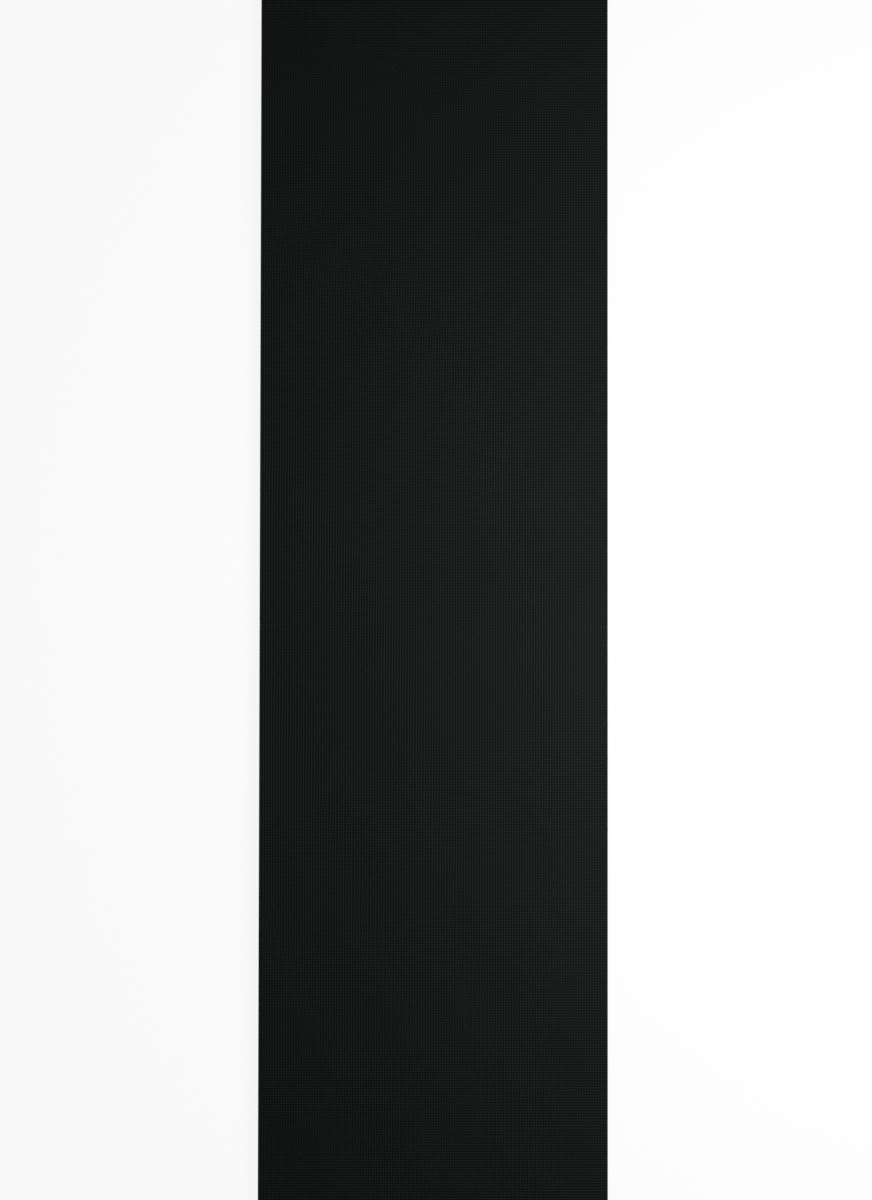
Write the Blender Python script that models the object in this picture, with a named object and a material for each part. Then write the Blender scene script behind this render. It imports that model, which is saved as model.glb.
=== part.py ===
"""Tire traction mat: a square-cut length of two-ply rubber belting, ribbed on its upper face.

The mat is a stack of flat layers that are bonded face to face and cut flush at all four edges.
From the ground up these are the ground cover, a skim of bonding rubber, the lower woven ply,
a second skim, the upper woven ply, a third skim and the tread cover.

Units are metres and +Z is up. The origin is the middle of the underside, +Y runs along the mat
and +X across it.
"""

import bmesh
import bpy

# Plan of the mat
MAT_LENGTH = 0.900
MAT_WIDTH = 0.260

# Thickness of each layer, the tread's ribs left out
GROUND_COVER = 0.0016
LOWER_SKIM = 0.0004
LOWER_PLY = 0.0009
MIDDLE_SKIM = 0.0005
UPPER_PLY = 0.0009
UPPER_SKIM = 0.0004
TREAD_WEB = 0.0024

# Clearance that stands for the bond line between two layers
BOND_LINE = 0.00005

# Ribs that cross the tread from edge to edge
RIB_HEIGHT = 0.0006
RIB_CREST = 0.0005
RIB_FLANK_RUN = 0.00035
GROOVE_FLOOR = 0.0008

# Finishes, as linear red, green and blue
BLACK_RUBBER = (0.012, 0.014, 0.013, 1.0)
GUM_RUBBER = (0.022, 0.021, 0.020, 1.0)
CORD_FABRIC = (0.105, 0.092, 0.074, 1.0)
GROUND_RUBBER = (0.016, 0.017, 0.017, 1.0)


def clear_scene():
    """Remove every object, so that only the mat is in the scene."""
    for item in list(bpy.data.objects):
        bpy.data.objects.remove(item, do_unlink=True)


def finish(name, colour, roughness):
    """Return a Principled material of one colour and roughness, with no metal in it."""
    material = bpy.data.materials.new(name)
    material.use_nodes = True
    shader = material.node_tree.nodes["Principled BSDF"]
    shader.inputs["Base Color"].default_value = colour
    shader.inputs["Roughness"].default_value = roughness
    shader.inputs["Metallic"].default_value = 0.0
    material.diffuse_color = colour
    return material


def plain_outline(thickness):
    """Return the corners of a flat layer's long section, as (along, up) pairs."""
    end = MAT_LENGTH / 2
    return [(-end, 0.0), (end, 0.0), (end, thickness), (-end, thickness)]


def tread_outline(thickness):
    """Return the tread cover's long section: a flat web with a row of tapered ribs on top.

    The row is centred and holds as many ribs as leave at least a quarter of a groove at each end,
    so both ends of the mat are cut through a groove.
    """
    end = MAT_LENGTH / 2
    crest_half = RIB_CREST / 2
    foot_half = crest_half + RIB_FLANK_RUN
    pitch = 2 * foot_half + GROOVE_FLOOR
    count = int((MAT_LENGTH + GROOVE_FLOOR / 2) / pitch)
    crest = thickness + RIB_HEIGHT
    outline = [(-end, thickness), (-end, 0.0), (end, 0.0), (end, thickness)]
    for index in reversed(range(count)):
        middle = (index - (count - 1) / 2) * pitch
        outline += [
            (middle + foot_half, thickness),
            (middle + crest_half, crest),
            (middle - crest_half, crest),
            (middle - foot_half, thickness),
        ]
    return outline


def layer(name, outline, level, material, parent):
    """Add one layer: its long section, drawn out across the mat's width and set at its level."""
    shape = bmesh.new()
    edge = -MAT_WIDTH / 2
    section = shape.faces.new([shape.verts.new((edge, along, up)) for along, up in outline])
    drawn = bmesh.ops.extrude_face_region(shape, geom=[section])
    far_side = [item for item in drawn["geom"] if isinstance(item, bmesh.types.BMVert)]
    bmesh.ops.translate(shape, verts=far_side, vec=(MAT_WIDTH, 0.0, 0.0))
    bmesh.ops.recalc_face_normals(shape, faces=shape.faces)
    mesh = bpy.data.meshes.new(name)
    shape.to_mesh(mesh)
    shape.free()
    mesh.materials.append(material)
    item = bpy.data.objects.new(name, mesh)
    item.location.z = level
    item.parent = parent
    bpy.context.collection.objects.link(item)


def main():
    """Stack the layers on the ground, from the ground cover up to the tread."""
    clear_scene()
    black_rubber = finish("black_rubber", BLACK_RUBBER, 0.62)
    gum_rubber = finish("gum_rubber", GUM_RUBBER, 0.55)
    cord_fabric = finish("cord_fabric", CORD_FABRIC, 0.90)
    ground_rubber = finish("ground_rubber", GROUND_RUBBER, 0.70)

    mat = bpy.data.objects.new("mat", None)
    bpy.context.collection.objects.link(mat)
    stack = (
        ("ground_cover", plain_outline, GROUND_COVER, ground_rubber),
        ("lower_skim", plain_outline, LOWER_SKIM, gum_rubber),
        ("lower_ply", plain_outline, LOWER_PLY, cord_fabric),
        ("middle_skim", plain_outline, MIDDLE_SKIM, gum_rubber),
        ("upper_ply", plain_outline, UPPER_PLY, cord_fabric),
        ("upper_skim", plain_outline, UPPER_SKIM, gum_rubber),
        ("tread_cover", tread_outline, TREAD_WEB, black_rubber),
    )
    level = 0.0
    for name, outline, thickness, material in stack:
        layer(name, outline(thickness), level, material, mat)
        level += thickness + BOND_LINE


main()
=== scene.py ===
"""Looks of a tire traction mat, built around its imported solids.

The mat is a square-cut length of two-ply rubber belting. Its upper cover is moulded in a fine waffle,
its cut edges show the two woven plies between thin skims of bonding rubber, and its underside carries
the shallow marks of the cloth that it was pressed on. Units are metres and +Z is up.
"""

import logging
import math
from abc import ABC, abstractmethod
from collections.abc import Callable
from dataclasses import dataclass, replace
from enum import Enum

import bmesh
import bpy
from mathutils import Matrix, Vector


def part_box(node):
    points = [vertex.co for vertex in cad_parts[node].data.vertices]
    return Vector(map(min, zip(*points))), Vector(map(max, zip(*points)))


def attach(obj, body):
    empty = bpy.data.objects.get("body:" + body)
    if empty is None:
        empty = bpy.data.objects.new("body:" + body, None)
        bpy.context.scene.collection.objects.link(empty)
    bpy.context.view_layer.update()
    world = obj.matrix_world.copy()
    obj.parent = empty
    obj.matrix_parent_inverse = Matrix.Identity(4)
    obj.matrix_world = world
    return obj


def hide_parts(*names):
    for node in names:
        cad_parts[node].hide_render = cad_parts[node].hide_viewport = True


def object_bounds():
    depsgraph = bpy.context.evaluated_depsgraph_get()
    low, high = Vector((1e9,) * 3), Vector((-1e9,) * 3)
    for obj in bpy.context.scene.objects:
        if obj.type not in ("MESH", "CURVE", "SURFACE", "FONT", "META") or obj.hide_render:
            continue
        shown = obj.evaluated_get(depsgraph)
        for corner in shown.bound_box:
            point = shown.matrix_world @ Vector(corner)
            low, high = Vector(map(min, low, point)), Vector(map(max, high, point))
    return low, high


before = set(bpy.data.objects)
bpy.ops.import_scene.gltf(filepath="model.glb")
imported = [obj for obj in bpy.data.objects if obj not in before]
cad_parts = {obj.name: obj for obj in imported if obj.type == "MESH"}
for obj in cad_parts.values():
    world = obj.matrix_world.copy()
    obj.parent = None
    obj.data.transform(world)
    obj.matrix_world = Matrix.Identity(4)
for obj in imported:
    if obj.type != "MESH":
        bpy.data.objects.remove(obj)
CAD_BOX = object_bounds()

LOG = logging.getLogger("traction_mat")
BODY = "root"
MM = 0.001
# Two places closer than this are the same place
HAIR = 0.001 * MM
# A face whose middle is closer than this to the mat's outline was cut by the blade
CUT_DEPTH = 0.06 * MM
# Faces that meet at less than this are shaded as one smooth surface
SMOOTH_ANGLE = math.radians(40)
WHITE = "#ffffff"
# The sRGB curve: a straight toe of this height and slope, then a power of the offset channel
SRGB_TOE, SRGB_SLOPE, SRGB_OFFSET, SRGB_POWER = 0.04045, 12.92, 0.055, 2.4
# Sockets of a colour Mix node, by number because others on it have the same names
MIX_SHARE, MIX_FROM, MIX_TO, MIX_RESULT = 0, 6, 7, 2

Colour = tuple[float, float, float, float]
Span = tuple[float, float]
Place = tuple[float, float, float]


class Run(Enum):
    """The way that a row's ribs or cords run, as the index of an axis."""

    ACROSS = 0
    ALONG = 1


class Facing(Enum):
    """The way that ribs point, as a sign along +Z."""

    UP = 1
    DOWN = -1


def linear(hex_colour: str) -> Colour:
    """Turn an sRGB hex colour into a linear one.

    Args:
        hex_colour: The colour as #rrggbb.

    Returns:
        Linear red, green and blue, and an alpha of 1.
    """
    channels = [int(hex_colour[i : i + 2], 16) / 255 for i in (1, 3, 5)]
    red, green, blue = (
        c / SRGB_SLOPE if c <= SRGB_TOE else ((c + SRGB_OFFSET) / (1 + SRGB_OFFSET)) ** SRGB_POWER
        for c in channels
    )
    return red, green, blue, 1.0


def per_metre(size_mm: float) -> float:
    """Return the texture scale, in repeats per metre, of a pattern whose features have a size in mm."""
    return 1 / (size_mm * MM)


def add_node(tree: bpy.types.NodeTree, kind: str, settings: dict | None = None,
             inputs: dict | None = None) -> bpy.types.Node:
    """Add a node to a tree, with its settings, input values and links.

    Args:
        tree: The node tree to add to.
        kind: Blender's name for the kind of node.
        settings: Properties to set, by name.
        inputs: Values, or output sockets to link, by the name or index of the input.

    Returns:
        The new node.
    """
    node = tree.nodes.new(kind)
    for key, value in (settings or {}).items():
        setattr(node, key, value)
    for key, value in (inputs or {}).items():
        if isinstance(value, bpy.types.NodeSocket):
            tree.links.new(value, node.inputs[key])
        else:
            node.inputs[key].default_value = value
    return node


@dataclass(frozen=True)
class Finish(ABC):
    """A real material and the way its surface was made.

    Attributes:
        name: The material's name.
    """

    name: str

    @abstractmethod
    def shader(self, tree: bpy.types.NodeTree) -> bpy.types.NodeSocket:
        """Draw the finish's nodes in a tree and return the shader's output."""

    def material(self) -> bpy.types.Material:
        """Give the finish as a node material, drawn when it is first asked for.

        Returns:
            The material, which every piece with this finish shares.
        """
        made = bpy.data.materials.get(self.name)
        if made is not None:
            return made
        made = bpy.data.materials.new(self.name)
        made.use_nodes = True
        tree = made.node_tree
        tree.nodes.clear()
        output = add_node(tree, "ShaderNodeOutputMaterial")
        tree.links.new(self.shader(tree), output.inputs["Surface"])
        return made


@dataclass(frozen=True)
class MouldedRubber(Finish):
    """Carbon-black rubber that was vulcanised in a mould.

    To the eye it is dull and almost black. The mould's blasted face leaves a fine grain, the recesses carry
    painted shade that makes them darker than what stands proud, and a faint bloom clouds the colour and the
    sheen in wide patches.

    Attributes:
        recess: Colour at the bottom of the relief, darker than the crest's as painted shade.
        crest: Colour at the top of the relief.
        recess_z: Height of the bottom of the relief.
        crest_z: Height of the top of the relief.
        roughness: Mean roughness of the surface.
        shine: Specular level of the surface.
        grain_mm: Size of the grain.
        bloom_mm: Size of the patches of bloom.
        grain_detail: Finer layers of noise in the grain.
        grain_depth: How much the grain lightens and darkens the colour.
        grain_rise: Height of the grain, as a share of its size.
        grain_strength: Strength of the grain's bump.
        bloom_detail: Finer layers of noise in the bloom.
        bloom_depth: How much the bloom lightens and darkens the colour.
        roughness_spread: How far the bloom moves the roughness to each side of its mean.
        span: The range of noise that both patterns use.
    """

    recess: str
    crest: str
    recess_z: float
    crest_z: float
    roughness: float
    shine: float
    grain_mm: float
    bloom_mm: float
    grain_detail: float = 3.0
    grain_depth: float = 0.20
    grain_rise: float = 0.3
    grain_strength: float = 0.7
    bloom_detail: float = 4.0
    bloom_depth: float = 0.07
    roughness_spread: float = 0.04
    span: Span = (0.3, 0.7)

    def shader(self, tree: bpy.types.NodeTree) -> bpy.types.NodeSocket:
        """Draw the rubber's nodes.

        Args:
            tree: The node tree to draw in.

        Returns:
            The shader's output.
        """
        place = add_node(tree, "ShaderNodeTexCoord").outputs["Object"]
        height = add_node(tree, "ShaderNodeSeparateXYZ", None, {"Vector": place}).outputs["Z"]
        # Painted shade: by height, the colour darkens from the crests down into the recesses
        painted_shade_height = add_node(tree, "ShaderNodeMapRange", None, {
            "Value": height, "From Min": self.recess_z, "From Max": self.crest_z}).outputs["Result"]
        colour = add_node(tree, "ShaderNodeMix", {"data_type": "RGBA"}, {
            MIX_SHARE: painted_shade_height, MIX_FROM: linear(self.recess),
            MIX_TO: linear(self.crest)}).outputs[MIX_RESULT]

        low, high = self.span
        bloom = add_node(tree, "ShaderNodeTexNoise", None, {
            "Vector": place, "Scale": per_metre(self.bloom_mm), "Detail": self.bloom_detail}).outputs["Fac"]
        clouded = add_node(tree, "ShaderNodeMapRange", None, {
            "Value": bloom, "From Min": low, "From Max": high,
            "To Min": 1 - self.bloom_depth, "To Max": 1 + self.bloom_depth}).outputs["Result"]
        grain = add_node(tree, "ShaderNodeTexNoise", None, {
            "Vector": place, "Scale": per_metre(self.grain_mm), "Detail": self.grain_detail}).outputs["Fac"]
        speckled = add_node(tree, "ShaderNodeMapRange", None, {
            "Value": grain, "From Min": low, "From Max": high,
            "To Min": 1 - self.grain_depth, "To Max": 1 + self.grain_depth}).outputs["Result"]
        tone = add_node(tree, "ShaderNodeMath", {"operation": "MULTIPLY"}, {
            0: clouded, 1: speckled}).outputs["Value"]
        toned = add_node(tree, "ShaderNodeVectorMath", {"operation": "SCALE"}, {
            "Vector": colour, "Scale": tone}).outputs["Vector"]

        roughness = add_node(tree, "ShaderNodeMapRange", None, {
            "Value": bloom, "From Min": low, "From Max": high,
            "To Min": self.roughness + self.roughness_spread,
            "To Max": self.roughness - self.roughness_spread}).outputs["Result"]
        bump = add_node(tree, "ShaderNodeBump", None, {
            "Height": grain, "Strength": self.grain_strength,
            "Distance": self.grain_mm * MM * self.grain_rise}).outputs["Normal"]
        return add_node(tree, "ShaderNodeBsdfPrincipled", None, {
            "Base Color": toned, "Roughness": roughness, "Normal": bump,
            "Specular IOR Level": self.shine}).outputs["BSDF"]


@dataclass(frozen=True)
class CutRubber(Finish):
    """Solid rubber that shows only where a blade cut it.

    To the eye it is smoother than a moulded face, with fine streaks that the blade drew along the cut.

    Attributes:
        dark: The streaks' darker colour.
        pale: The streaks' paler colour.
        roughness: Mean roughness of the cut face.
        shine: Specular level of the cut face.
        streak_mm: Height of one streak.
        streak_run_mm: Length of one streak.
        roughness_spread: How far the roughness varies to each side of its mean.
        streak_detail: Finer layers of noise in the streaks.
        streak_rise: Height of a streak's bump, as a share of the streak's own height.
        streak_strength: Strength of the streaks' bump.
        span: The range of noise that the streaks use.
    """

    dark: str
    pale: str
    roughness: float
    shine: float
    streak_mm: float
    streak_run_mm: float
    roughness_spread: float = 0.12
    streak_detail: float = 4.0
    streak_rise: float = 0.3
    streak_strength: float = 0.8
    span: Span = (0.32, 0.68)

    def shader(self, tree: bpy.types.NodeTree) -> bpy.types.NodeSocket:
        """Draw the cut rubber's nodes.

        Args:
            tree: The node tree to draw in.

        Returns:
            The shader's output.
        """
        place = add_node(tree, "ShaderNodeTexCoord").outputs["Object"]
        along, upward = per_metre(self.streak_run_mm), per_metre(self.streak_mm)
        drawn_out = add_node(tree, "ShaderNodeMapping", None, {
            "Vector": place, "Scale": (along, along, upward)}).outputs["Vector"]
        noise = add_node(tree, "ShaderNodeTexNoise", None, {
            "Vector": drawn_out, "Scale": 1.0, "Detail": self.streak_detail}).outputs["Fac"]
        low, high = self.span
        streak = add_node(tree, "ShaderNodeMapRange", None, {
            "Value": noise, "From Min": low, "From Max": high}).outputs["Result"]
        colour = add_node(tree, "ShaderNodeMix", {"data_type": "RGBA"}, {
            MIX_SHARE: streak, MIX_FROM: linear(self.dark),
            MIX_TO: linear(self.pale)}).outputs[MIX_RESULT]
        roughness = add_node(tree, "ShaderNodeMapRange", None, {
            "Value": streak, "To Min": self.roughness - self.roughness_spread,
            "To Max": self.roughness + self.roughness_spread}).outputs["Result"]
        bump = add_node(tree, "ShaderNodeBump", None, {
            "Height": streak, "Strength": self.streak_strength,
            "Distance": self.streak_mm * MM * self.streak_rise}).outputs["Normal"]
        return add_node(tree, "ShaderNodeBsdfPrincipled", None, {
            "Base Color": colour, "Roughness": roughness, "Normal": bump,
            "Specular IOR Level": self.shine}).outputs["BSDF"]


@dataclass(frozen=True)
class CordYarn(Finish):
    """Twisted polyester cord, dipped and rubbered.

    To the eye a cut end is dull, fibrous and fawn, and smeared with black where rubber clings to it.

    Attributes:
        yarn: Colour of the bare fibre.
        smear: Colour of the rubber that clings to it.
        roughness: Roughness of the fibre.
        shine: Specular level of the fibre.
        fibre_mm: Width of a bundle of fibres.
        smear_mm: Size of a patch of clinging rubber.
        fibre_detail: Finer layers of noise in the fibres.
        fibre_rise: Height of a bundle's bump, as a share of its width.
        fibre_strength: Strength of the fibres' bump.
        smear_detail: Finer layers of noise in the smears.
        span: The range of noise that the smears use.
    """

    yarn: str
    smear: str
    roughness: float
    shine: float
    fibre_mm: float
    smear_mm: float
    fibre_detail: float = 2.0
    fibre_rise: float = 0.5
    fibre_strength: float = 0.6
    smear_detail: float = 5.0
    span: Span = (0.35, 0.65)

    def shader(self, tree: bpy.types.NodeTree) -> bpy.types.NodeSocket:
        """Draw the cord's nodes.

        Args:
            tree: The node tree to draw in.

        Returns:
            The shader's output.
        """
        place = add_node(tree, "ShaderNodeTexCoord").outputs["Object"]
        patches = add_node(tree, "ShaderNodeTexNoise", None, {
            "Vector": place, "Scale": per_metre(self.smear_mm), "Detail": self.smear_detail}).outputs["Fac"]
        low, high = self.span
        clinging = add_node(tree, "ShaderNodeMapRange", None, {
            "Value": patches, "From Min": low, "From Max": high}).outputs["Result"]
        colour = add_node(tree, "ShaderNodeMix", {"data_type": "RGBA"}, {
            MIX_SHARE: clinging, MIX_FROM: linear(self.yarn),
            MIX_TO: linear(self.smear)}).outputs[MIX_RESULT]
        fibre = add_node(tree, "ShaderNodeTexNoise", None, {
            "Vector": place, "Scale": per_metre(self.fibre_mm), "Detail": self.fibre_detail}).outputs["Fac"]
        bump = add_node(tree, "ShaderNodeBump", None, {
            "Height": fibre, "Strength": self.fibre_strength,
            "Distance": self.fibre_mm * MM * self.fibre_rise}).outputs["Normal"]
        return add_node(tree, "ShaderNodeBsdfPrincipled", None, {
            "Base Color": colour, "Roughness": self.roughness, "Normal": bump,
            "Specular IOR Level": self.shine}).outputs["BSDF"]


@dataclass(frozen=True)
class StudioPaper(Finish):
    """Matt white background paper, which keeps shadows and looks white to the camera and in reflections.

    Attributes:
        colour: Colour of the paper.
        glow: Share of its look that doesn't depend on the lamps.
    """

    colour: str
    glow: float

    def shader(self, tree: bpy.types.NodeTree) -> bpy.types.NodeSocket:
        """Draw the paper's nodes.

        Args:
            tree: The node tree to draw in.

        Returns:
            The shader's output.
        """
        path = add_node(tree, "ShaderNodeLightPath")
        seen = path.outputs["Is Camera Ray"]
        for ray in ("Is Glossy Ray", "Is Transmission Ray"):
            seen = add_node(tree, "ShaderNodeMath", {"operation": "MAXIMUM"}, {
                0: seen, 1: path.outputs[ray]}).outputs["Value"]
        share = add_node(tree, "ShaderNodeMath", {"operation": "MULTIPLY"}, {
            0: seen, 1: self.glow}).outputs["Value"]
        matt = add_node(tree, "ShaderNodeBsdfDiffuse", None, {"Color": linear(self.colour)}).outputs["BSDF"]
        white = add_node(tree, "ShaderNodeEmission", None, {
            "Color": linear(WHITE), "Strength": 1.0}).outputs["Emission"]
        return add_node(tree, "ShaderNodeMixShader", None, {0: share, 1: matt, 2: white}).outputs["Shader"]


def deselect_all() -> None:
    """Leave edit mode and leave nothing selected."""
    if bpy.context.object is not None and bpy.context.object.mode != "OBJECT":
        bpy.ops.object.mode_set(mode="OBJECT")
    bpy.ops.object.select_all(action="DESELECT")


def select_only(piece: bpy.types.Object) -> None:
    """Make a piece the active object and the only one selected.

    Args:
        piece: The object to select.
    """
    deselect_all()
    piece.select_set(True)
    bpy.context.view_layer.objects.active = piece


def add_block(name: str, low: Vector, high: Vector) -> bpy.types.Object:
    """Add a block between two corners, with its size and place in its mesh.

    Args:
        name: The block's name.
        low: Its lowest corner.
        high: Its highest corner.

    Returns:
        The block, active and selected by itself.
    """
    deselect_all()
    bpy.ops.mesh.primitive_cube_add(size=1.0, location=(low + high) / 2)
    block = bpy.context.object
    block.name = name
    block.data.name = name
    block.scale = high - low
    bpy.ops.object.transform_apply(location=True, rotation=True, scale=True)
    return block


def edit_edges(piece: bpy.types.Object, chosen: Callable[[Vector, Vector], bool]) -> None:
    """Enter edit mode with only the chosen edges of a piece selected.

    Args:
        piece: The object to edit.
        chosen: Says from the places of its two ends whether an edge is wanted.
    """
    select_only(piece)
    bpy.ops.object.mode_set(mode="EDIT")
    bpy.ops.mesh.select_mode(type="EDGE")
    bpy.ops.mesh.select_all(action="DESELECT")
    shape = bmesh.from_edit_mesh(piece.data)
    for edge in shape.edges:
        edge.select_set(chosen(edge.verts[0].co, edge.verts[1].co))
    bmesh.update_edit_mesh(piece.data)


def edit_faces(piece: bpy.types.Object, chosen: Callable[[Vector], bool]) -> None:
    """Enter edit mode with only the chosen faces of a piece selected.

    Args:
        piece: The object to edit.
        chosen: Says from the place of its middle whether a face is wanted.
    """
    select_only(piece)
    bpy.ops.object.mode_set(mode="EDIT")
    bpy.ops.mesh.select_mode(type="FACE")
    bpy.ops.mesh.select_all(action="DESELECT")
    shape = bmesh.from_edit_mesh(piece.data)
    for face in shape.faces:
        face.select_set(chosen(face.calc_center_median()))
    bmesh.update_edit_mesh(piece.data)


def repeat_along(piece: bpy.types.Object, axis: int, pitch: float, count: int) -> None:
    """Repeat a piece in a straight row.

    Args:
        piece: The active object, which becomes the whole row.
        axis: Index of the axis along which the row runs.
        pitch: Distance from one copy to the next.
        count: How many there are in all.
    """
    repeat = piece.modifiers.new("row", "ARRAY")
    repeat.count = count
    repeat.use_relative_offset = False
    repeat.use_constant_offset = True
    repeat.constant_offset_displace = [pitch if index == axis else 0.0 for index in range(3)]
    bpy.ops.object.modifier_apply(modifier=repeat.name)


def smooth(piece: bpy.types.Object) -> None:
    """Shade a piece's rounded edges as smooth, and leave its broad faces flat.

    Args:
        piece: The piece to shade.
    """
    select_only(piece)
    bpy.ops.object.shade_smooth_by_angle(angle=SMOOTH_ANGLE)
    even = piece.modifiers.new("even_shading", "WEIGHTED_NORMAL")
    even.keep_sharp = True
    bpy.ops.object.modifier_apply(modifier=even.name)


def coat(part: bpy.types.Object, finish: Finish) -> None:
    """Give a part one finish all over."""
    part.data.materials.clear()
    part.data.materials.append(finish.material())


def join(parts: list[bpy.types.Object], name: str) -> bpy.types.Object:
    """Join several objects into the first one.

    Args:
        parts: The objects, the one to keep first.
        name: The joined piece's name.

    Returns:
        The joined piece.
    """
    piece = parts[0]
    select_only(piece)
    for part in parts:
        part.select_set(True)
    if len(parts) > 1:
        bpy.ops.object.join()
    piece.name = name
    piece.data.name = name
    return piece


@dataclass
class RibRow:
    """A row of straight ribs that run one way, side by side at an even pitch.

    Attributes:
        run: The way the ribs run.
        facing: The way the crests point.
        low: Lowest corner of the space that the row fills.
        high: Highest corner of the space that the row fills.
        pitch: Distance from one rib to the next.
        foot: Width of a rib at its foot.
        crest: Width of a rib at its crest, before the crest is rounded.
        rounding: Radius of the crest's edges.
        steps: Steps in each rounded edge.
    """

    run: Run
    facing: Facing
    low: Vector
    high: Vector
    pitch: float
    foot: float
    crest: float
    rounding: float
    steps: int

    def build(self) -> bpy.types.Object:
        """Model one rib, round its crest and repeat it along the row.

        Returns:
            The row, as one object.
        """
        across = 1 - self.run.value
        count = round((self.high[across] - self.low[across]) / self.pitch)
        middle = (self.low[across] + self.high[across]) / 2
        first = middle - (count - 1) / 2 * self.pitch
        low, high = self.low.copy(), self.high.copy()
        low[across], high[across] = first - self.foot / 2, first + self.foot / 2
        rib = add_block("rib", low, high)
        level = high.z if self.facing is Facing.UP else low.z

        edit_edges(rib, lambda a, b: max(abs(a.z - level), abs(b.z - level)) < HAIR)
        taper = Vector((1.0, 1.0, 1.0))
        taper[across] = self.crest / self.foot
        bpy.ops.transform.resize(value=taper, center_override=(low + high) / 2)
        bpy.ops.object.mode_set(mode="OBJECT")

        edit_edges(rib, lambda a, b: max(abs(a.z - level), abs(b.z - level),
                                         abs(a[across] - b[across])) < HAIR)
        bpy.ops.mesh.bevel(offset=self.rounding, segments=self.steps, affect="EDGES")
        bpy.ops.object.mode_set(mode="OBJECT")
        repeat_along(rib, across, self.pitch, count)
        return rib


@dataclass
class CordRow:
    """A row of straight cords that run one way, side by side at an even pitch.

    Attributes:
        run: The way the cords run.
        low: Lowest corner of the space that the row fills.
        high: Highest corner of the space that the row fills.
        level: Height of the row's middle.
        pitch: Distance from one cord to the next.
        thickness: Diameter of a cord.
        swing: How far cords lie above or below the row's middle by turns, as the weave has them.
        sides: Sides of a cord's section.
        end_wear: Width of the worn rim of a cord's end, as a share of its diameter.
    """

    run: Run
    low: Vector
    high: Vector
    level: float
    pitch: float
    thickness: float
    swing: float
    sides: int = 8
    end_wear: float = 0.15

    def build(self) -> bpy.types.Object:
        """Model a pair of cords with worn ends and repeat it along the row.

        Returns:
            The row, as one object.
        """
        along, across = self.run.value, 1 - self.run.value
        span = self.high[across] - self.low[across]
        pairs = int((span - self.thickness) / self.pitch / 2)
        place = (self.low + self.high) / 2
        place.z = self.level + self.swing
        place[across] -= (2 * pairs - 1) / 2 * self.pitch
        turn = (0.0, math.pi / 2, 0.0) if self.run is Run.ACROSS else (math.pi / 2, 0.0, 0.0)
        deselect_all()
        bpy.ops.mesh.primitive_cylinder_add(
            vertices=self.sides, radius=self.thickness / 2, depth=self.high[along] - self.low[along],
            location=place, rotation=turn)
        cord = bpy.context.object
        bpy.ops.object.transform_apply(location=True, rotation=True, scale=True)

        edit_edges(cord, lambda a, b: abs(a[along] - b[along]) < HAIR)
        bpy.ops.mesh.bevel(offset=self.thickness * self.end_wear, segments=1, affect="EDGES")
        bpy.ops.object.mode_set(mode="OBJECT")

        beside = Vector((0.0, 0.0, -2 * self.swing))
        beside[across] = self.pitch
        edit_faces(cord, lambda middle: True)
        bpy.ops.mesh.duplicate_move(TRANSFORM_OT_translate={"value": beside})
        bpy.ops.object.mode_set(mode="OBJECT")
        repeat_along(cord, across, 2 * self.pitch, pairs)
        return cord


Dressed = tuple[bpy.types.Object, Finish]


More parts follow.
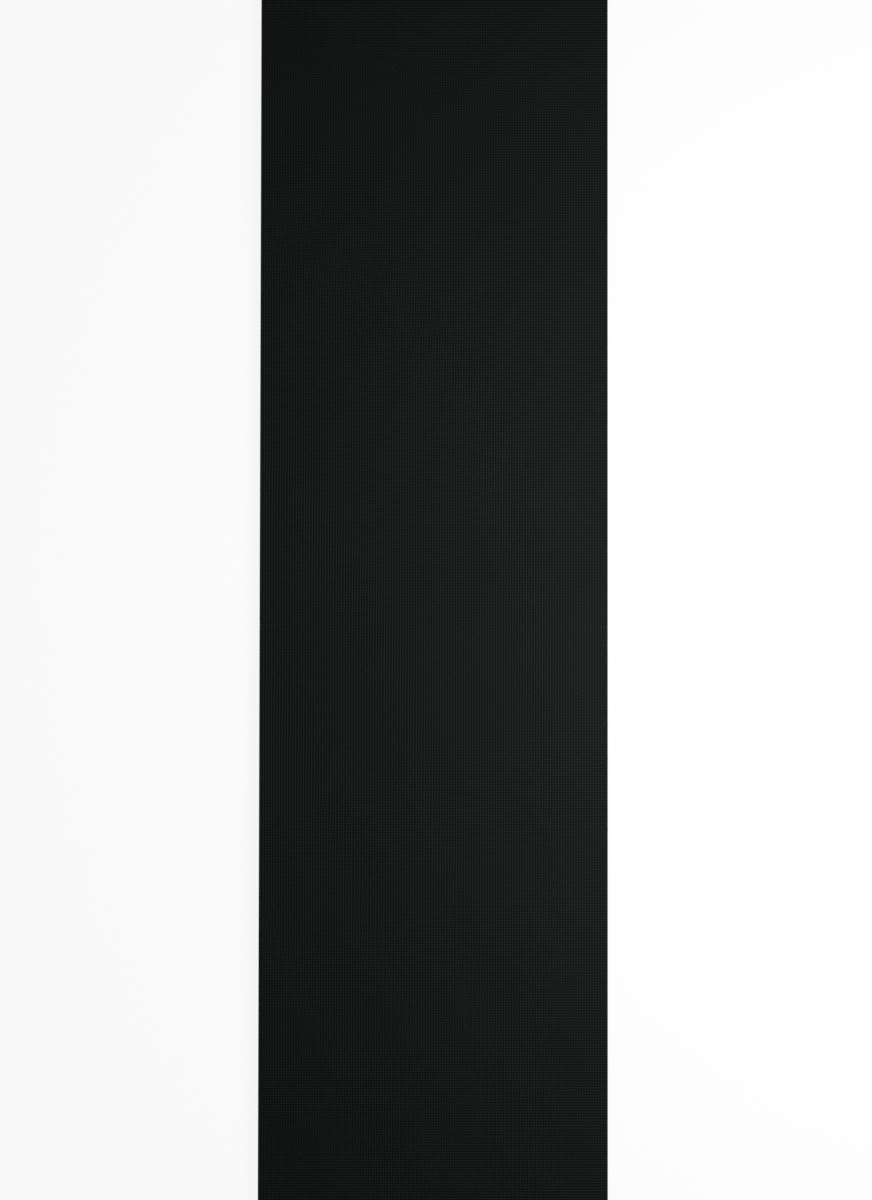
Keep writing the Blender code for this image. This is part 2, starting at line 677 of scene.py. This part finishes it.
@dataclass
class Layer(ABC):
    """One bonded layer of the mat, as its solid gives it.

    Attributes:
        node: Name of the solid that the layer's piece stands for.
        piece: Name of the piece.
        slot: The record's material slot for the piece, not used.
        setback: How far the cut edge lies inside the solid's edge.
        edge_rounding: Width of the rounded edges.
        edge_steps: Steps in each rounded edge.
    """

    node: str
    piece: str
    slot: str
    setback: float
    edge_rounding: float
    edge_steps: int

    @abstractmethod
    def parts(self) -> list[Dressed]:
        """Model the layer's parts, its sheet first, and return each with its finish."""

    def cut_finish(self) -> Finish | None:
        """Return the finish of the cut faces, or None where it is that of the whole layer."""
        return None

    def corners(self) -> tuple[Vector, Vector]:
        """Give the space that the layer fills, with its cut edges set back.

        Returns:
            The layer's lowest and highest corners.
        """
        low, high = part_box(self.node)
        inset = Vector((self.setback, self.setback, 0.0))
        return low + inset, high - inset

    def between(self, one_z: float, other_z: float, inset: float = 0.0) -> tuple[Vector, Vector]:
        """Give the space that the layer fills between two heights.

        Args:
            one_z: One of the heights.
            other_z: The other height.
            inset: How far the space is drawn in from the layer's cut edges.

        Returns:
            The space's lowest and highest corners.
        """
        low, high = self.corners()
        bottom, top = sorted((one_z, other_z))
        return Vector((low.x + inset, low.y + inset, bottom)), Vector((high.x - inset, high.y - inset, top))

    def sheet(self, low: Vector, high: Vector) -> bpy.types.Object:
        """Add the layer's flat sheet, with its edges slightly rounded.

        Args:
            low: Lowest corner of the sheet.
            high: Highest corner of the sheet.

        Returns:
            The sheet.
        """
        sheet = add_block(self.piece, low, high)
        edit_edges(sheet, lambda a, b: True)
        bpy.ops.mesh.bevel(offset=self.edge_rounding, segments=self.edge_steps, affect="EDGES")
        bpy.ops.object.mode_set(mode="OBJECT")
        return sheet

    def dress_cut(self, piece: bpy.types.Object, finish: Finish) -> None:
        """Give the faces that a blade cut, at the mat's four edges, a finish of their own.

        Args:
            piece: The layer's piece.
            finish: The finish of the cut faces.
        """
        low, high = self.corners()
        edit_faces(piece, lambda middle: min(
            middle.x - low.x, high.x - middle.x, middle.y - low.y, high.y - middle.y) < CUT_DEPTH)
        piece.data.materials.append(finish.material())
        piece.active_material_index = len(piece.data.materials) - 1
        bpy.ops.object.material_slot_assign()
        bpy.ops.object.mode_set(mode="OBJECT")

    def build(self) -> bpy.types.Object:
        """Model, dress and register the layer's piece.

        Returns:
            The finished piece.
        """
        parts = self.parts()
        for part, finish in parts:
            coat(part, finish)
        piece = join([part for part, _ in parts], self.piece)
        cut = self.cut_finish()
        if cut is not None:
            self.dress_cut(piece, cut)
        smooth(piece)
        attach(piece, BODY)
        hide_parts(self.node)
        return piece


@dataclass
class RibbedCover(Layer):
    """A rubber cover whose outer face carries two crossing rows of ribs.

    Attributes:
        facing: The way the outer face points.
        relief: Height of the ribs that run across the mat.
        drop: How much lower the ribs that run along the mat are.
        pitch: Distance from one rib to the next, both ways.
        foot: Width of a rib at its foot.
        crest: Width of a rib at its crest.
        rounding: Radius of the crests' edges.
        steps: Steps in each rounded crest.
        sink: How far the ribs' feet reach into the sheet.
        end_gap: How far the ribs' ends stop short of the cut edge.
        matt_roughness: Roughness of the recesses between the ribs.
        matt_shine: Specular level of the recesses.
    """

    facing: Facing
    relief: float
    drop: float
    pitch: float
    foot: float
    crest: float
    rounding: float
    steps: int
    sink: float
    end_gap: float
    matt_roughness: float
    matt_shine: float

    @abstractmethod
    def moulded_finish(self, recess_z: float, crest_z: float) -> MouldedRubber:
        """Return the finish of the ribs, from the heights of the recesses and the crests."""

    def parts(self) -> list[Dressed]:
        """Model the sheet and both rows of ribs.

        Returns:
            The sheet with its matt finish, and the rows with the ribs' own.
        """
        low, high = self.corners()
        inner_z, crest_z = (low.z, high.z) if self.facing is Facing.UP else (high.z, low.z)
        outward = self.facing.value
        recess_z = crest_z - outward * self.relief
        foot_z = recess_z - outward * self.sink
        rubber = self.moulded_finish(recess_z, crest_z)
        # Handling burnishes the ribs, but the recesses stay as matt as they were moulded, and look dark
        matt = replace(rubber, name=f"matt_{rubber.name}", roughness=self.matt_roughness,
                       shine=self.matt_shine)
        parts = [(self.sheet(*self.between(inner_z, recess_z)), matt)]
        for run, drop in ((Run.ACROSS, 0.0), (Run.ALONG, self.drop)):
            row_low, row_high = self.between(foot_z, crest_z - outward * drop, self.end_gap)
            row = RibRow(run=run, facing=self.facing, low=row_low, high=row_high, pitch=self.pitch,
                         foot=self.foot, crest=self.crest, rounding=self.rounding, steps=self.steps)
            parts.append((row.build(), rubber))
        return parts


@dataclass
class TreadCover(RibbedCover):
    """The upper cover, moulded in a waffle: strong cross ribs with slightly lower ribs between them."""

    slot: str = "tread_rubber"
    setback: float = 0.0
    edge_rounding: float = 0.10 * MM
    edge_steps: int = 2
    facing: Facing = Facing.UP
    relief: float = 0.60 * MM
    drop: float = 0.14 * MM
    pitch: float = 2.0 * MM
    foot: float = 1.20 * MM
    crest: float = 0.62 * MM
    rounding: float = 0.20 * MM
    steps: int = 3
    sink: float = 0.10 * MM
    end_gap: float = 0.02 * MM
    matt_roughness: float = 0.80
    matt_shine: float = 0.08

    def moulded_finish(self, recess_z: float, crest_z: float) -> MouldedRubber:
        """Return the tread's rubber: dull black, with painted shade that makes the pits darker than the
        crests.
        """
        # A blasted mould leaves a grain of about 0.05 mm, drawn coarser so that it shows on a rib up close
        return MouldedRubber(
            name="moulded_black_rubber", recess="#0c120f", crest="#141b17", recess_z=recess_z,
            crest_z=crest_z, roughness=0.54, shine=0.15, grain_mm=0.25, bloom_mm=90.0)

    def cut_finish(self) -> Finish:
        """Return the cover's cut rubber: black, with streaks that catch a little more light."""
        return CutRubber(
            name="cut_tread_rubber", dark="#0b0e0c", pale="#1b201d", roughness=0.56, shine=0.2,
            streak_mm=0.22, streak_run_mm=18.0)


@dataclass
class GroundCover(RibbedCover):
    """The lower cover, whose underside has the shallow marks of the cloth that it was pressed on."""

    slot: str = "ground_rubber"
    setback: float = 0.0
    edge_rounding: float = 0.10 * MM
    edge_steps: int = 2
    facing: Facing = Facing.DOWN
    relief: float = 0.14 * MM
    drop: float = 0.028 * MM
    pitch: float = 1.6 * MM
    foot: float = 1.25 * MM
    crest: float = 0.70 * MM
    rounding: float = 0.07 * MM
    steps: int = 1
    sink: float = 0.05 * MM
    end_gap: float = 0.02 * MM
    matt_roughness: float = 0.88
    matt_shine: float = 0.10

    def moulded_finish(self, recess_z: float, crest_z: float) -> MouldedRubber:
        """Return the underside's rubber: duller than the tread, with painted shade that leaves the threads'
        marks just paler.
        """
        # The cloth's nap is finer than this, and drawn coarser so that it shows up close
        return MouldedRubber(
            name="cloth_marked_rubber", recess="#0e100f", crest="#1a1d1b", recess_z=recess_z,
            crest_z=crest_z, roughness=0.70, shine=0.2, grain_mm=0.22, bloom_mm=60.0)

    def cut_finish(self) -> Finish:
        """Return the cover's cut rubber: black, with shorter and duller streaks than the tread's."""
        return CutRubber(
            name="cut_ground_rubber", dark="#0c0e0d", pale="#1c201e", roughness=0.60, shine=0.2,
            streak_mm=0.20, streak_run_mm=16.0)


@dataclass
class SkimCoat(Layer):
    """A thin coat of bonding rubber, seen only as the bead that swells out along the cut edges."""

    slot: str = "skim_rubber"
    setback: float = 0.02 * MM
    edge_rounding: float = 0.17 * MM
    edge_steps: int = 4

    def parts(self) -> list[Dressed]:
        """Model the coat with its rounded bead, and return it with its soft, glossier rubber."""
        rubber = CutRubber(
            name="cut_skim_rubber", dark="#101110", pale="#242524", roughness=0.52, shine=0.3,
            streak_mm=0.12, streak_run_mm=14.0)
        return [(self.sheet(*self.corners()), rubber)]


@dataclass
class CordPly(Layer):
    """A woven reinforcing ply: rubber fill with cords both ways, whose cut ends show at the edges.

    Attributes:
        weft_pitch: Distance between the cords that run across the mat.
        warp_pitch: Distance between the cords that run along the mat.
        cord: Diameter of a cord.
        swing: How far the weave lifts and lowers the cords by turns.
        proud: How far the cords' ends stand out of the fill.
    """

    slot: str = "ply_fabric"
    setback: float = 0.12 * MM
    edge_rounding: float = 0.08 * MM
    edge_steps: int = 2
    weft_pitch: float = 1.1 * MM
    warp_pitch: float = 0.9 * MM
    cord: float = 0.38 * MM
    swing: float = 0.03 * MM
    proud: float = 0.08 * MM

    def parts(self) -> list[Dressed]:
        """Model the fill and both rows of cords.

        Returns:
            The fill with its friction rubber, and the rows with their yarn.
        """
        # Rubber that was rubbed into the weave: brown-black and dull, because the cords' dip stains it
        friction = CutRubber(
            name="friction_rubber", dark="#15130f", pale="#2c2822", roughness=0.7, shine=0.2,
            streak_mm=0.15, streak_run_mm=6.0)
        # One fibre is about 0.02 mm wide, so bundles of them are drawn, which show up close
        yarn = CordYarn(
            name="rubbered_polyester_cord", yarn="#5d5447", smear="#1c1a18", roughness=0.9, shine=0.2,
            fibre_mm=0.06, smear_mm=1.3)
        low, high = self.corners()
        parts = [(self.sheet(low, high), friction)]
        row_low, row_high = self.between(low.z, high.z, -self.proud)
        quarter = (high.z - low.z) / 4
        for run, level, pitch in (
            (Run.ACROSS, low.z + quarter, self.weft_pitch),
            (Run.ALONG, high.z - quarter, self.warp_pitch),
        ):
            row = CordRow(run=run, low=row_low, high=row_high, level=level, pitch=pitch,
                          thickness=self.cord, swing=self.swing)
            parts.append((row.build(), yarn))
        return parts


@dataclass(frozen=True)
class SoftBox:
    """A soft square lamp that points at a place.

    Attributes:
        name: The lamp's name.
        place: Where it stands.
        aim: What it points at.
        width: Its width and height.
        watts: Its power.
    """

    name: str
    place: Place
    aim: Place
    width: float
    watts: float

    def build(self) -> None:
        """Add the lamp to the scene."""
        light = bpy.data.lights.new(self.name, "AREA")
        light.shape = "SQUARE"
        light.size = self.width
        light.energy = self.watts
        lamp = bpy.data.objects.new(self.name, light)
        lamp.location = self.place
        lamp.rotation_euler = (Vector(self.aim) - Vector(self.place)).to_track_quat("-Z", "Y").to_euler()
        bpy.context.scene.collection.objects.link(lamp)


@dataclass
class Studio:
    """The plain white floor with its raised rim, the lamps and the dim room above.

    The room stays dim because black rubber mirrors it: a bright one would turn the tread grey.

    Attributes:
        floor_radius: Radius of the flat floor.
        floor_sides: Sides of the floor's outline.
        rim_height: Height of the rim that closes the horizon.
        drop: How far the floor lies under the mat.
        room_level: Strength of the room's light.
        key: A near lamp on the right, whose light falls off across the mat.
        fill: A weak lamp on the left.
        paper: The floor's finish.
    """

    floor_radius: float = 6.0
    floor_sides: int = 96
    rim_height: float = 2.5
    drop: float = 0.2 * MM
    room_level: float = 0.06
    key: SoftBox = SoftBox(
        name="key_softbox", place=(0.58, 0.01, 0.57), aim=(0.09, -0.04, 0.0), width=0.52, watts=8.3)
    fill: SoftBox = SoftBox(
        name="fill_softbox", place=(-1.40, 0.30, 1.60), aim=(0.0, 0.0, 0.0), width=1.2, watts=3.0)
    paper: StudioPaper = StudioPaper(name="white_studio_paper", colour="#f7f7f7", glow=0.90)

    def floor(self) -> None:
        """Add the floor and its rim."""
        deselect_all()
        bpy.ops.mesh.primitive_circle_add(
            vertices=self.floor_sides, radius=self.floor_radius, fill_type="NGON",
            location=(0.0, 0.0, CAD_BOX[0].z - self.drop))
        floor = bpy.context.object
        floor.name = "studio_floor"
        bpy.ops.object.transform_apply(location=True, rotation=True, scale=True)
        edit_edges(floor, lambda a, b: True)
        bpy.ops.mesh.extrude_edges_move(TRANSFORM_OT_translate={"value": (0.0, 0.0, self.rim_height)})
        bpy.ops.object.mode_set(mode="OBJECT")
        coat(floor, self.paper)

    def build(self) -> None:
        """Add the floor, the lamps and the room."""
        self.floor()
        self.key.build()
        self.fill.build()
        world = bpy.data.worlds.new("dim_room")
        world.use_nodes = True
        sky = world.node_tree.nodes["Background"]
        sky.inputs["Color"].default_value = linear(WHITE)
        sky.inputs["Strength"].default_value = self.room_level
        bpy.context.scene.world = world


@dataclass
class PhotoCamera:
    """The camera of the photograph: almost straight above, a little towards the near end.

    Attributes:
        lens_mm: Focal length.
        sensor_mm: Length of the picture's long side on the sensor.
        stand_off: Height above the tread.
        aside: How far it stands to the right of the mat's middle.
        back: How far it stands towards the near end.
        tilt_deg: How far it looks up along the mat.
        lean_deg: How far it looks aside.
        roll_deg: How far the picture is turned.
    """

    lens_mm: float = 85.0
    sensor_mm: float = 36.0
    stand_off: float = 2.1148
    aside: float = 0.0033
    back: float = 0.0576
    tilt_deg: float = 1.498
    lean_deg: float = 0.040
    roll_deg: float = 0.083

    def build(self) -> None:
        """Add the camera and make it the scene's own."""
        data = bpy.data.cameras.new("photo_camera")
        data.lens = self.lens_mm
        data.sensor_width = self.sensor_mm
        camera = bpy.data.objects.new("photo_camera", data)
        camera.location = (self.aside, -self.back, CAD_BOX[1].z + self.stand_off)
        camera.rotation_euler = [math.radians(a) for a in (self.tilt_deg, self.lean_deg, self.roll_deg)]
        bpy.context.scene.collection.objects.link(camera)
        bpy.context.scene.camera = camera


@dataclass
class TractionMat:
    """The whole mat, layer by layer from the ground up.

    Attributes:
        middle_bead: Width of the rounded edges of the middle skim, the thickest of the three.
    """

    middle_bead: float = 0.21 * MM

    def layers(self) -> list[Layer]:
        """Return the layers in the order in which they are bonded."""
        return [
            GroundCover("ground_cover", "cloth_marked_base"),
            SkimCoat("lower_skim", "lower_skim_coat"),
            CordPly("lower_ply", "lower_cord_ply"),
            SkimCoat("middle_skim", "middle_skim_coat", edge_rounding=self.middle_bead),
            CordPly("upper_ply", "upper_cord_ply"),
            SkimCoat("upper_skim", "upper_skim_coat"),
            TreadCover("tread_cover", "moulded_tread"),
        ]

    def build(self) -> None:
        """Build every layer and report its piece."""
        for layer in self.layers():
            piece = layer.build()
            LOG.info("%s for %s: %d faces", piece.name, layer.node, len(piece.data.polygons))


def main() -> None:
    """Build the mat, its studio and its camera."""
    logging.basicConfig(level=logging.INFO, format="%(message)s")
    LOG.info("the packed model has %d nodes", len(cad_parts))
    TractionMat().build()
    Studio().build()
    PhotoCamera().build()
    bpy.context.scene.view_settings.view_transform = "Standard"


if __name__ == "__main__":
    main()
